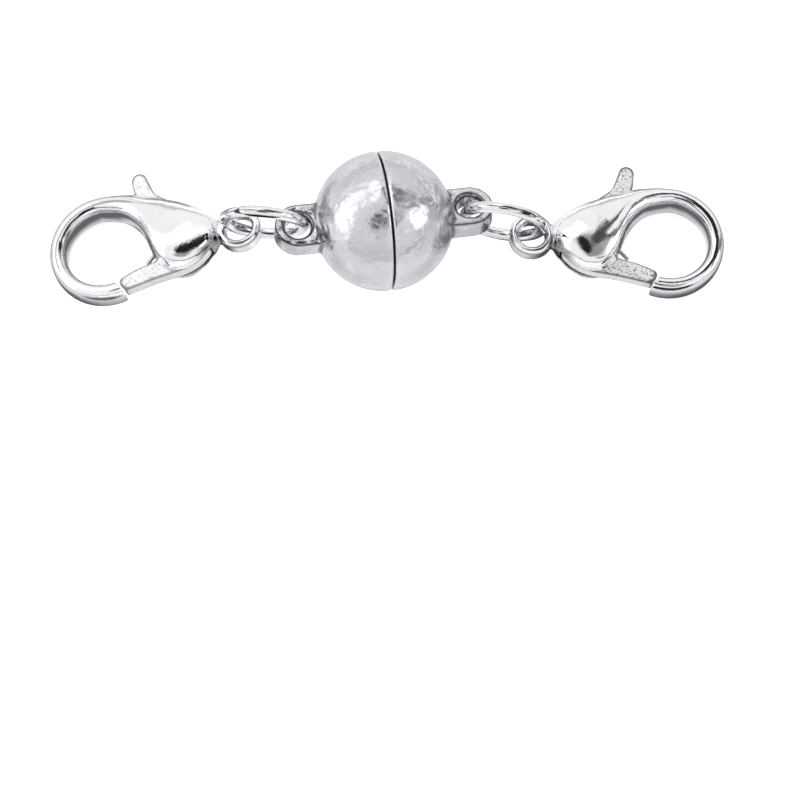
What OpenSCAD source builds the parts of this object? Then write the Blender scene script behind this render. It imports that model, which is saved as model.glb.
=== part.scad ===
// Double-ended lobster clasp: a magnetic ball of two cups, each with a jump ring and a lobster claw.
// Millimetres. X runs along the clasp, Y away from the viewer, Z up, and the floor is z = 0.

/* [Ball] */
// Diameter of the ball that the two cups make
ball_d = 8; // [7.6:0.1:8.6]
// Gap between the two cups at the seam
seam_gap = 0.05; // [0.03:0.01:0.1]
// Rounding of the cups' rims at the seam
rim_round = 0.18; // [0.1:0.02:0.3]
// Turn of the ball's axis seen from above
ball_yaw = 8.6; // [5:0.1:10]
// Dip of the ball's right end
ball_dip = 4.2; // [2:0.1:6]

/* [Magnets] */
// Diameter of each disc magnet
magnet_d = 5.2; // [4.6:0.1:5.6]
// Thickness of each disc magnet
magnet_t = 1.5; // [1.2:0.1:1.8]
// Gap all round a magnet in its pocket
magnet_gap = 0.05; // [0.03:0.01:0.1]

/* [Eyes of the cups] */
// Width of the eye's plate
eye_w = 2.65; // [2.5:0.05:2.8]
// Thickness of the eye's plate
eye_t = 1.25; // [1.1:0.05:1.35]
// Diameter of the hole in the eye
eye_hole_d = 1.5; // [1.4:0.05:1.6]
// Bevel of the hole's edges
eye_bevel = 0.16; // [0.1:0.02:0.2]
// Distance of the hole's centre from the ball's surface
eye_reach = 0.95; // [0.9:0.05:1.1]
// Roll of the left eye about the ball's axis
eye_roll_left = -3; // [-6:1:6]
// Roll of the right eye about the ball's axis
eye_roll_right = -13; // [-16:1:-8]

/* [Jump rings] */
// Outer diameter of each jump ring
ring_d = 5.1; // [5.05:0.05:5.2]
// Thickness of the jump ring's wire
ring_wire_d = 0.66; // [0.6:0.02:0.7]
// Width of the cut where the ring's ends meet
ring_cut = 0.06; // [0.04:0.02:0.2]

/* [Claws] */
// Outer radius of the hook's round loop
hook_r = 3.24; // [3.2:0.02:3.28]
// Inner radius of the hook's round loop
hook_in_r = 2.31; // [2.27:0.02:2.35]
// Half thickness of the hook at its far end
hook_half_t = 0.85; // [0.75:0.05:0.95]
// Outer diameter of the claw's eyelet
eyelet_d = 2.56; // [2.5:0.02:2.6]
// Diameter of the hole in the eyelet
eyelet_hole_d = 1.58; // [1.54:0.02:1.62]
// Thickness of the eyelet
eyelet_t = 1.05; // [0.95:0.05:1.1]
// Bevel of the eyelet's edges
eyelet_bevel = 0.18; // [0.1:0.02:0.2]

/* [Levers] */
// Thickness of the lever's plate
lever_t = 0.8; // [0.74:0.02:0.84]
// Width of the slot that the lever moves in
slot_t = 0.9; // [0.88:0.02:0.96]
// Diameter of the pin
pin_d = 0.8; // [0.7:0.02:0.84]
// Gap round the pin in the claw's body
pin_fit = 0.02; // [0.015:0.005:0.03]
// Gap round the pin in the lever
lever_fit = 0.04; // [0.03:0.01:0.06]
// Thickness of the spring's wire
spring_wire_d = 0.22; // [0.18:0.02:0.24]

/* [Hidden] */

ball_r = ball_d / 2;
ring_r = (ring_d - ring_wire_d) / 2;

// The ball's centre, placed so that the origin is below the middle of the whole clasp
ball_at = [-0.2, -0.2, ball_r];

// Centres of the jump rings from the ball's centre
ring_left = [-ball_r - 2.8, -0.38, 0.65];
ring_right = [ball_r + 2.83, 0.33, -0.79];
// Lean toward the viewer and turn of each ring, which stands on edge
ring_left_lean = 8.4;
ring_left_turn = -5.2;
ring_right_lean = 4.5;
ring_right_turn = -9;
// Where the cut lies round each ring, from its outer end
ring_left_cut_at = -82;
ring_right_cut_at = -75;

// Centres of the claws' eyelets from the ball's centre
eyelet_left = [-ball_r - 4.19, -0.19, -0.81];
eyelet_right = [ball_r + 4.42, -0.07, -2.01];
// Dip of each hook toward the floor and turn seen from above
claw_left_dip = 12.4;
claw_left_turn = 4.7;
claw_left_roll = 3.5;
claw_right_dip = 6;
claw_right_turn = -0.7;
// How far each gate stands from its drawn place, inward being positive
left_lever_rest = -2;
right_lever_rest = 0.5;

// The claw in its own frame: the eyelet's hole at the origin, u to the hook, v to the thumb tab, w up
hook_c = [7.82, 0];
// Angles at which the hook's loop starts and at which its tip is cut, outside and inside
hook_start = 84;
hook_end_out = -108.8;
hook_end_in = -100.5;
// How much thicker the loop is inside where it leaves the housing
root_extra = 0.1;

// Sections across the neck and the housing: a row for each, from the eyelet to the hook
OUT_U = 0;
OUT_V = 1;
IN_U = 2;
IN_V = 3;
HALF_T = 4;
// How far the section's crest lies inward, as a share of half its width
CREST = 5;
housing_rows = [
    [1.02, 0.70, 1.02, -0.62, 0.42, 0],
    [1.25, 0.82, 1.25, -0.72, 0.52, 0],
    [1.44, 1.00, 1.42, -0.90, 0.80, 0],
    [1.80, 1.32, 1.72, -1.22, 1.08, 0.05],
    [2.40, 1.80, 2.35, -1.74, 1.34, 0.18],
    [3.20, 2.30, 3.15, -2.10, 1.53, 0.34],
    [4.00, 2.68, 4.10, -2.02, 1.56, 0.36],
    [4.70, 2.91, 4.78, -1.46, 1.48, 0.24],
    [5.35, 3.08, 5.14, -0.66, 1.36, 0.10],
    [5.95, 3.18, 5.44, 0.26, 1.24, 0],
    [6.60, 3.24, 5.95, 1.18, 1.12, 0],
    [7.30, 3.26, 6.75, 1.88, 1.03, 0]
];
// Steps between two rows, round a section and along the hook's loop
row_steps = 3;
section_points = 24;
loop_steps = 26;
// Squareness of the sections: 2 is an ellipse
section_power = 2.35;

pivot = [3.5, 0.2];
hub_r = 1.12;
// Half length of the pin
pin_half = 1.22;
// Recess in the lever's face for the spring's coil
recess_r = 0.98;
recess_floor = -0.1;

// The slot, seen along w: it opens below, at the hook's side and above for the thumb tab
slot_outline = [
    [1.62, -3.2], [1.62, -0.5], [2.02, 0.2], [2.3, 1.1], [2.56, 1.95], [2.66, 3.6],
    [6.0, 3.6], [5.92, 3.0], [5.62, 2.2], [5.1, 1.3], [5.0, 0.75], [5.2, 0.32],
    [6.25, 0.2], [6.25, -3.2]
];

// The lever seen along w: gate, hub and thumb tab
tab_round = 0.44;
tab_c = [5.45, 4.1];
lever_outline = concat(
    [
        [1.74, -0.86], [2.15, -1.48], [2.62, -1.82], [3.1, -2.02], [3.74, -2.17], [5.05, -2.36],
        [6.74, -2.7], [6.9, -2.64], [7.18, -2.22], [7.18, -2.07], [7.02, -1.86], [6.13, -1.5],
        [4.97, -1.18], [4.5, -0.72], [4.62, 0.2], [4.78, 0.9], [5.42, 2.2], [5.78, 3.1]
    ],
    arc_points(tab_c, tab_round, -8, 155, 8),
    [[4.66, 3.2], [4.3, 2.82], [3.78, 2.41], [3.15, 1.7], [2.62, 0.9], [2.36, 0.2]]
);

// Points of an arc about c, from angle a0 to a1
function arc_points(c, r, a0, a1, n) = [
    for (i = [0:n]) let (a = a0 + (a1 - a0) * i / n) c + r * [cos(a), sin(a)]
];

// Signed power, for superellipses
function spow(x, p) = sign(x) * pow(abs(x), p);

// Row i of a table, held at its ends
function row(t, i) = t[max(0, min(len(t) - 1, i))];

// A smooth curve through the rows of a table, at f between row i and the next
function smooth_row(t, i, f) =
    let (a = row(t, i - 1), b = row(t, i), c = row(t, i + 1), d = row(t, i + 2))
    0.5 * (2 * b + (c - a) * f + (2 * a - 5 * b + 4 * c - d) * f * f + (3 * b - a - 3 * c + d) * f * f * f);

// A row across the hook's loop: the loop thins inside as it leaves the housing
function loop_row(f) =
    let (
        ao = hook_start + (hook_end_out - hook_start) * f,
        ai = hook_start + (hook_end_in - hook_start) * f,
        in_r = hook_in_r - root_extra * pow((1 + sin(ai)) / 2, 2),
        half_t = hook_half_t + 0.12 * pow((1 + sin(ai)) / 2, 2)
    )
    [
        hook_c[0] + hook_r * cos(ao), hook_c[1] + hook_r * sin(ao),
        hook_c[0] + in_r * cos(ai), hook_c[1] + in_r * sin(ai),
        half_t, 0
    ];

claw_rows = concat(housing_rows, [for (i = [0:loop_steps]) loop_row(i / loop_steps)]);
housing_count = len(housing_rows);

// Rows in the order of the sweep: interpolated over the housing, as computed along the loop
sweep_rows = concat(
    [
        for (i = [0:housing_count - 1]) for (k = [0:row_steps - 1])
            smooth_row(claw_rows, i, k / row_steps)
    ],
    [for (i = [housing_count:len(claw_rows) - 1]) claw_rows[i]]
);

// A closed section for one row, as points in the claw's frame
function section(r) =
    let (
        mid = [(r[OUT_U] + r[IN_U]) / 2, (r[OUT_V] + r[IN_V]) / 2],
        arm = [(r[OUT_U] - r[IN_U]) / 2, (r[OUT_V] - r[IN_V]) / 2]
    )
    [
        for (i = [0:section_points - 1])
            let (
                a = 360 * i / section_points,
                c = spow(cos(a), 2 / section_power),
                x = c - r[CREST] * (1 - c * c),
                w = -spow(sin(a), 2 / section_power) * r[HALF_T]
            )
            [mid[0] + arm[0] * x, mid[1] + arm[1] * x, w]
    ];

// A solid through closed sections that all have n points
module loft(sections, n) {
    last = len(sections) - 1;
    points = [for (s = sections) for (p = s) p];
    sides = [
        for (i = [0:last - 1]) for (j = [0:n - 1])
            let (a = i * n + j, b = i * n + (j + 1) % n)
            each [[a, b, b + n], [a, b + n, a + n]]
    ];
    start_cap = [for (j = [1:n - 2]) [0, j + 1, j]];
    end_cap = [for (j = [1:n - 2]) [last * n, last * n + j, last * n + j + 1]];
    polyhedron(points = points, faces = concat(sides, start_cap, end_cap));
}

function unit(v) = v / norm(v);

// The direction of a path at point i
function heading(path, i) = unit(row(path, i + 1) - row(path, i - 1));

// A round wire along a path that is nowhere parallel to the v axis
module wire(path, d, n) {
    rings = [
        for (i = [0:len(path) - 1])
            let (t = heading(path, i), s = unit(cross(t, [0.04, 0.03, 1])), b = cross(s, t))
            [for (j = [0:n - 1]) path[i] + d / 2 * (cos(360 * j / n) * s + sin(360 * j / n) * b)]
    ];
    loft(rings, n);
}

// Places what is drawn along +X from the ball's centre on the left or the right of the ball
module on_ball(side) {
    translate(ball_at)
        rotate([0, ball_dip, ball_yaw])
            rotate([0, 0, side == "left" ? 180 : 0])
                children();
}

// The outline of half the ball's cup in the plane of its axis: x is the radius, y the distance from the seam
function cup_outline() =
    let (
        y0 = seam_gap / 2,
        cy = y0 + rim_round,
        cx = sqrt(pow(ball_r - rim_round, 2) - cy * cy),
        start = atan2(cy, cx)
    )
    concat(
        [[0, y0]],
        arc_points([cx, cy], rim_round, -90, start, 6),
        [for (i = [1:30]) let (a = start + (90 - start) * i / 30) ball_r * [cos(a), sin(a)]]
    );

// Half of the ball with its eye and the pocket for its magnet
module cup(roll) {
    eye_x = ball_r + eye_reach;
    difference() {
        union() {
            rotate([0, 90, 0]) rotate_extrude($fn = 96) polygon(cup_outline());
            rotate([roll, 0, 0]) linear_extrude(eye_t, center = true) eye_shape(eye_x);
        }
        translate([-0.5, 0, 0])
            rotate([0, 90, 0])
                cylinder(d = magnet_d + 2 * magnet_gap, h = 0.5 + seam_gap / 2 + magnet_t + 0.12, $fn = 64);
        rotate([roll, 0, 0])
            translate([eye_x, 0, 0])
                bevelled_hole(eye_hole_d, eye_t, eye_bevel);
    }
}

// What is cut away for a hole through a plate of thickness t, with both edges bevelled
module bevelled_hole(d, t, bevel) {
    cylinder(d = d, h = t + 1, center = true, $fn = 48);
    for (side = [-1, 1])
        translate([0, 0, side * (t / 2 - bevel / 2 + 0.01)])
            cylinder(
                d1 = d + (side > 0 ? 0 : 2 * bevel), d2 = d + (side > 0 ? 2 * bevel : 0),
                h = bevel + 0.02, center = true, $fn = 48
            );
}

module eye_shape(eye_x) {
    translate([eye_x, 0]) circle(d = eye_w, $fn = 64);
    translate([ball_r - 1.2, -eye_w / 2]) square([eye_x - ball_r + 1.2, eye_w]);
}

// Disc magnet, flush with its cup's rim
module magnet() {
    translate([seam_gap / 2 + 0.02, 0, 0])
        rotate([0, 90, 0])
            cylinder(d = magnet_d, h = magnet_t, $fn = 64);
}

// A jump ring in its own plane, with its cut at an angle round it
module jump_ring(cut_at) {
    open_angle = (ring_cut / ring_r) * 180 / PI;
    rotate([90, 0, 0])
        rotate([0, 0, cut_at + open_angle / 2])
            rotate_extrude(angle = 360 - open_angle, $fn = 96)
                translate([ring_r, 0])
                    circle(d = ring_wire_d, $fn = 32);
}

// The claw's eyelet, before its hole is cut
module eyelet() {
    rotate_extrude($fn = 64)
        polygon([
            [0, -eyelet_t / 2], [eyelet_d / 2 - eyelet_bevel, -eyelet_t / 2],
            [eyelet_d / 2, -eyelet_t / 2 + eyelet_bevel], [eyelet_d / 2, eyelet_t / 2 - eyelet_bevel],
            [eyelet_d / 2 - eyelet_bevel, eyelet_t / 2], [0, eyelet_t / 2]
        ]);
}

// The claw's casting: eyelet, neck, housing and hook in one solid
module claw_body() {
    difference() {
        union() {
            loft([for (r = sweep_rows) section(r)], section_points);
            eyelet();
        }
        bevelled_hole(eyelet_hole_d, eyelet_t, eyelet_bevel);
        linear_extrude(slot_t, center = true) polygon(slot_outline);
        translate([pivot[0], pivot[1], 0])
            cylinder(d = pin_d + 2 * pin_fit, h = 2 * pin_half + 0.06, center = true, $fn = 48);
    }
}

// The lever: gate, hub and thumb tab in one plate, with a recess for the spring
module claw_lever() {
    difference() {
        union() {
            linear_extrude(lever_t, center = true) polygon(lever_outline);
            translate([pivot[0], pivot[1], 0]) cylinder(r = hub_r, h = lever_t, center = true, $fn = 64);
        }
        translate([pivot[0], pivot[1], 0])
            cylinder(d = pin_d + 2 * lever_fit, h = lever_t + 1, center = true, $fn = 48);
        translate([pivot[0], pivot[1], recess_floor]) cylinder(r = recess_r, h = 1, $fn = 48);
        for (leg = [neck_leg_end, gate_leg_end])
            translate([pivot[0], pivot[1], recess_floor])
                rotate([0, 0, angle_to(leg)])
                    translate([0, -0.2, 0])
                        cube([2.6, coil_r + 0.4, 1]);
    }
}

module claw_pin() {
    translate([pivot[0], pivot[1], 0]) cylinder(d = pin_d, h = 2 * pin_half, center = true, $fn = 48);
}

// The spring: a coil on the pin between a leg that goes to the neck and one that presses on the gate
coil_r = pin_d / 2 + spring_wire_d / 2 + 0.06;
coil_low = recess_floor + spring_wire_d / 2 + 0.03;
coil_high = coil_low + 0.27;
coil_steps = 34;
neck_leg_end = [2.42, 0.82];
gate_leg_end = [5.54, -1.15];

// The angle at which a point lies from the pin, and that at which a leg to it leaves the coil
function angle_to(p) = atan2(p[1] - pivot[1], p[0] - pivot[0]);
function leave_angle(p, side) =
    angle_to(p) + side * acos(coil_r / norm([p[0] - pivot[0], p[1] - pivot[1]]));

module claw_spring() {
    from = leave_angle(neck_leg_end, -1);
    to = leave_angle(gate_leg_end, 1) - 360;
    coil = [
        for (i = [0:coil_steps])
            let (f = i / coil_steps, a = from + (to - from) * f)
            [
                pivot[0] + coil_r * cos(a), pivot[1] + coil_r * sin(a),
                coil_high + (coil_low - coil_high) * f
            ]
    ];
    wire(
        concat(
            [[neck_leg_end[0], neck_leg_end[1], coil_high]],
            coil,
            [[gate_leg_end[0], gate_leg_end[1], coil_low]]
        ),
        spring_wire_d, 10
    );
}

// Places the claw's own frame at its eyelet. The left claw is the same claw turned over.
module on_left_claw() {
    translate(ball_at + eyelet_left)
        rotate([0, 180 - claw_left_dip, claw_left_turn])
            rotate([claw_left_roll, 0, 0])
                children();
}

module on_right_claw() {
    translate(ball_at + eyelet_right)
        rotate([0, claw_right_dip, claw_right_turn])
            children();
}

// Turns the lever and its spring about the pin
module turned(angle) {
    translate([pivot[0], pivot[1], 0])
        rotate([0, 0, angle])
            translate([-pivot[0], -pivot[1], 0])
                children();
}

module left_cup() {
    color("silver") on_ball("left") cup(-eye_roll_left);
}

module right_cup() {
    color("silver") on_ball("right") cup(eye_roll_right);
}

module left_magnet() {
    color("gainsboro") on_ball("left") magnet();
}

module right_magnet() {
    color("gainsboro") on_ball("right") magnet();
}

module left_jump_ring() {
    color("silver")
        translate(ball_at + ring_left)
            rotate([ring_left_lean, 0, ring_left_turn])
                jump_ring(180 - ring_left_cut_at);
}

module right_jump_ring() {
    color("silver")
        translate(ball_at + ring_right)
            rotate([ring_right_lean, 0, ring_right_turn])
                jump_ring(ring_right_cut_at);
}

module left_claw_body() {
    color("silver") on_left_claw() claw_body();
}

module left_claw_lever() {
    color("lightgray") on_left_claw() turned(left_lever_rest) claw_lever();
}

module left_claw_pin() {
    color("darkgray") on_left_claw() claw_pin();
}

module left_claw_spring() {
    color("gray") on_left_claw() turned(left_lever_rest) claw_spring();
}

module right_claw_body() {
    color("silver") on_right_claw() claw_body();
}

module right_claw_lever() {
    color("lightgray") on_right_claw() turned(right_lever_rest) claw_lever();
}

module right_claw_pin() {
    color("darkgray") on_right_claw() claw_pin();
}

module right_claw_spring() {
    color("gray") on_right_claw() turned(right_lever_rest) claw_spring();
}

left_cup();
left_magnet();
left_jump_ring();
left_claw_body();
left_claw_lever();
left_claw_pin();
left_claw_spring();
right_cup();
right_magnet();
right_jump_ring();
right_claw_body();
right_claw_lever();
right_claw_pin();
right_claw_spring();
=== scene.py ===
import math

import bmesh
import bpy
import numpy as np
from bpy.props import FloatProperty, FloatVectorProperty, PointerProperty
from mathutils import Matrix, Vector


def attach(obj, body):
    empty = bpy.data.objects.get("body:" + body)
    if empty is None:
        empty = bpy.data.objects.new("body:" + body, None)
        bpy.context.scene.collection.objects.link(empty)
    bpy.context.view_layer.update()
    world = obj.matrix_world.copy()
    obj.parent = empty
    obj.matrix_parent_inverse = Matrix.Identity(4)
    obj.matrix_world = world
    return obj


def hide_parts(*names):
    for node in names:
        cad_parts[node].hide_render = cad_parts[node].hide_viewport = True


bl_info = {
    "name": "Double-ended lobster clasp",
    "version": (1, 0, 0),
    "blender": (4, 5, 0),
    "location": "3D View > Sidebar > Clasp",
    "description": "Builds a magnetic ball clasp with a lobster claw on a jump ring at each end",
    "category": "Add Mesh",
}

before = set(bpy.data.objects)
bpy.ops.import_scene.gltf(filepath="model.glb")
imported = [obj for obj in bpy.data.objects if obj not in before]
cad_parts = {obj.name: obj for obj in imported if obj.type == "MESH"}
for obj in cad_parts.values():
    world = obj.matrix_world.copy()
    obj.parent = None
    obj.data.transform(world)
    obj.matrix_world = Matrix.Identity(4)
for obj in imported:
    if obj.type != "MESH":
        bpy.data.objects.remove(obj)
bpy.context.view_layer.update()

MM = 0.001
FEWEST_FACES = 500  # a casting with fewer has failed
SIDES = ("left", "right")

# Placing, in millimetres and degrees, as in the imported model
BALL_AT = Vector((-0.2, -0.2, 4.0))
BALL_DIP, BALL_YAW = 4.2, 8.6
EYE_ROLL = {"left": 3.0, "right": -13.0}
RINGS = {
    "left": {"at": (-6.8, -0.38, 0.65), "lean": 8.4, "turn": -5.2, "cut": 262.0},
    "right": {"at": (6.83, 0.33, -0.79), "lean": 4.5, "turn": -9.0, "cut": 285.0},
}
CLAWS = {
    "left": {"at": (-8.19, -0.19, -0.81), "turns": ((0, 167.6, 4.7), (3.5, 0, 0)), "lever": -2.0},
    "right": {"at": (8.42, -0.07, -2.01), "turns": ((0, 6.0, -0.7),), "lever": 0.5},
}

# The cup along +X from the ball's centre: the seam's lip, the eye and its hole, and the room round the magnet
CUP_LIP_R = 0.18
EYE_OUT, EYE_HALF_WIDTH, EYE_HALF_THICKNESS = 0.95, 1.325, 0.625
EYE_HOLE_D, EYE_HOLE_BEVEL = 1.5, 0.16
POCKET_ROUND, POCKET_BEHIND = 0.05, 0.12
# Thin dark lines: on the seam's lip, and on the eye's edges at (distance from its axis, height)
SEAM_LINE, SEAM_LINE_FADE = 0.075, 0.02
EYE_LINES = [
    (EYE_HALF_WIDTH - 0.03, EYE_HALF_THICKNESS - 0.03),
    (0.9, EYE_HALF_THICKNESS - 0.03),
    (0.76, EYE_HALF_THICKNESS - 0.15),
]

# The claw in its own frame: the eyelet's hole at the origin, u to the hook, v to the thumb tab, w up.
# A row across the housing: outer u and v, inner u and v, half thickness, and how far the crest lies inward
HOUSING_ROWS = [
    (1.02, 0.70, 1.02, -0.62, 0.42, 0),
    (1.25, 0.82, 1.25, -0.72, 0.52, 0),
    (1.44, 1.00, 1.42, -0.90, 0.80, 0),
    (1.80, 1.32, 1.72, -1.22, 1.08, 0.05),
    (2.40, 1.80, 2.35, -1.74, 1.34, 0.18),
    (3.20, 2.30, 3.15, -2.10, 1.53, 0.34),
    (4.00, 2.68, 4.10, -2.02, 1.56, 0.36),
    (4.70, 2.91, 4.78, -1.46, 1.48, 0.24),
    (5.35, 3.08, 5.14, -0.66, 1.36, 0.10),
    (5.95, 3.18, 5.44, 0.26, 1.24, 0),
    (6.60, 3.24, 5.95, 1.18, 1.12, 0),
    (7.30, 3.26, 6.75, 1.88, 1.03, 0),
]
# The hook: outer and inner radius, half thickness, and the angles where it starts and where its two sides end
HOOK_CENTRE = np.array((7.82, 0.0))
HOOK_R, HOOK_IN_R, HOOK_HALF_T = 3.24, 2.31, 0.85
HOOK_START, HOOK_END_OUT, HOOK_END_IN = 84.0, -108.8, -100.5
# Squareness of the sections at a few places along u: 2 is an ellipse
POWER_AT, POWER = (2.6, 4.2, 5.6, 7.2), (2.2, 1.85, 1.95, 2.5)
# A raised rim along the housing's lower side: how high, half its width, and from where to where along u
RIM_RISE, RIM_HALF_WIDTH, RIM_FROM, RIM_TO = 0.07, 0.66, 1.7, 5.3
EYELET_R, EYELET_HALF_T, EYELET_BEVEL = 1.28, 0.525, 0.18
EYELET_HOLE_D = 1.58
EYELET_LINES = [(EYELET_R - 0.02, EYELET_HALF_T - EYELET_BEVEL - 0.02), (0.8, EYELET_HALF_T - 0.18)]
# The wedge of painted shade below the neck: from where to where along u, how high along v, and half its width
WEDGE_FROM, WEDGE_TO, WEDGE_TOP, WEDGE_HALF_WIDTH = 0.9, 2.5, -0.4, 1.05
# The slot for the lever, right through the housing
SLOT_HALF = 0.45
SLOT_OUTLINE = [
    (1.62, -3.2), (1.62, -0.5), (2.02, 0.2), (2.3, 1.1), (2.56, 1.95), (2.66, 3.6),
    (6.0, 3.6), (5.92, 3.0), (5.62, 2.2), (5.1, 1.3), (5.0, 0.75), (5.2, 0.32),
    (6.25, 0.2), (6.25, -3.2),
]

# The lever, which turns on its pin at PIVOT; its outline is the gate, the round thumb tab and the tab's back
PIVOT = (3.5, 0.2)
LEVER_HALF, HUB_R, LEVER_BORE_R = 0.4, 1.12, 0.44
LEVER_EDGE = ((0.15, 0), (0.03, 0.05), (0, 0.09))  # how far in and how far down
TAB_CENTRE, TAB_R = (5.45, 4.1), 0.44
GATE_OUTLINE = [
    (1.74, -0.86), (2.15, -1.48), (2.62, -1.82), (3.1, -2.02), (3.74, -2.17), (5.05, -2.36),
    (6.74, -2.7), (6.9, -2.64), (7.18, -2.22), (7.18, -2.07), (7.02, -1.86), (6.13, -1.5),
    (4.97, -1.18), (4.5, -0.72), (4.62, 0.2), (4.78, 0.9), (5.42, 2.2), (5.78, 3.1),
]
TAB_BACK = [(4.66, 3.2), (4.3, 2.82), (3.78, 2.41), (3.15, 1.7), (2.62, 0.9), (2.36, 0.2)]

# The spring, and its room in the lever: a round recess, and a channel for each leg with its two sides
RECESS_R, RECESS_FLOOR = 0.98, -0.1
NECK_LEG_END, GATE_LEG_END = (2.42, 0.82), (5.54, -1.15)
CHANNEL_LENGTH, CHANNEL_SIDES = 2.6, (-0.2, 0.97)
SPRING_WIRE_R, SPRING_RISE = 0.11, 0.27
PIN_R, PIN_BORE_R = 0.4, 0.42
PIN_END = [(0.3, 1.22), (0.36, 1.2), (PIN_R, 1.14)]  # radius and height

MAGNET_BEVEL, MAGNET_SUNK = 0.06, 0.02
RING_CUT = 0.06  # how wide the jump ring's cut is

# By kind of piece: its material's name, the panel's colour, and its looks as metal() takes them
FINISHES = {
    "cup": ("satin_cup_plating", "cup", dict(
        roughness=0.25, cloud=0.1, cloud_scale=420, peel=0.12, peel_scale=900, grain=0.07, grain_scale=7000,
        speckle=0.16, edge=0.15, soot=0.9)),
    "magnet": ("brushed_magnet_nickel", "magnet", dict(
        roughness=0.22, cloud=0.04, cloud_scale=500, peel=0.01, peel_scale=300, grain=0.02, brushed=0.12)),
    "ring": ("jump_ring_wire", "ring", dict(
        roughness=0.07, cloud=0.08, cloud_scale=900, peel=0.04, peel_scale=700, grain=0.03)),
    "claw": ("polished_claw_plating", "claw", dict(
        roughness=0.06, cloud=0.05, cloud_scale=500, peel=0.04, peel_scale=450, grain=0.03, grain_scale=8000,
        edge=0.15, soot=0.7)),
    "left_lever": ("grainy_lever_plating_left", "lever", dict(
        roughness=0.36, cloud=0.06, cloud_scale=800, peel=0.03, peel_scale=900, grain=0.32, grain_scale=9500,
        spots=0.4, lines=0.7, metallic=0.6)),
    "right_lever": ("grainy_lever_plating_right", "lever", dict(
        roughness=0.36, cloud=0.06, cloud_scale=800, peel=0.03, peel_scale=900, grain=0.32, grain_scale=9500,
        spots=1.0, lines=0.92, metallic=0.25)),
    "pin": ("steel_pin", "pin", dict(
        roughness=0.2, cloud=0.1, cloud_scale=900, peel=0.01, peel_scale=500, grain=0.05)),
    "spring": ("spring_wire_steel", "pin", dict(
        roughness=0.18, cloud=0.1, cloud_scale=1500, peel=0.02, peel_scale=900, grain=0.05)),
}
WORN_EDGE = (0.97, 0.97, 0.98)
STREAK_SCALE = 9000  # brushed streaks in a metre

# The tent's softboxes: azimuth, elevation, outer and inner radius in degrees, and the light that each adds
SOFTBOXES = [
    (113, 58, 14, 5, 0.9),
    (102, 47, 10, 4, 0.5),
    (142, 52, 14, 5, 0.5),
    (162, 39, 17, 7, 0.7),
    (177, 26, 19, 8, 0.9),
    (-169, 10, 19, 8, 0.9),
    (-4, 27, 22, 10, 1.2),
]
# The dark gaps between them, the same way, with the part of the light that each leaves
GAPS = [
    (21, 8, 10, 6, 0.2),
    (20, 24, 10, 6, 0.2),
    (20, 40, 10, 6, 0.2),
    (33, 53, 10, 6, 0.2),
    (48, 60, 10, 6, 0.1),
    (64, 64, 10, 6.5, 0.03),
    (12, 60, 9, 4, 0.5),
    (-40, 68, 13, 7, 0.35),
    (-100, 65, 17, 11, 0.0),
]
# Where the dark horizon is paler, the same way, with the part of its darkness that each leaves
HORIZON_BREAKS = [
    (180, 4, 50, 25, 0.1),
    (90, 4, 60, 35, 0.5),
    (-100, 0, 60, 35, 0.75),
]

FLOOR_HALF, FLOOR_Z, MIRRORED_FLOOR_RISE = 3, -2e-5, 1e-5  # in metres
# The painted shadow on the floor in reflections: a zone is a product of ramps, and the darkest zone counts.
# A ramp: along what, from where to where in millimetres, and its values there
FLOOR_ZONES = {
    "before the clasp": [("y", -1.5, -4, 0, 0.45), ("y", -8, -6, 0.6, 1), ("from_ball", 4.5, 7, 0, 1)],
    "beyond the hooks": [("aside", 19.5, 21.5, 0, 0.65), ("aside", 28, 25, 0, 1)],
    "behind the claws": [("y", 1.5, 4, 0, 0.75), ("aside", 9, 12, 0, 1), ("y", 16, 12, 0, 1)],
    "behind the ball": [("y", 3, 6, 0, 0.2), ("aside", 9, 7, 0, 1)],
}

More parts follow.
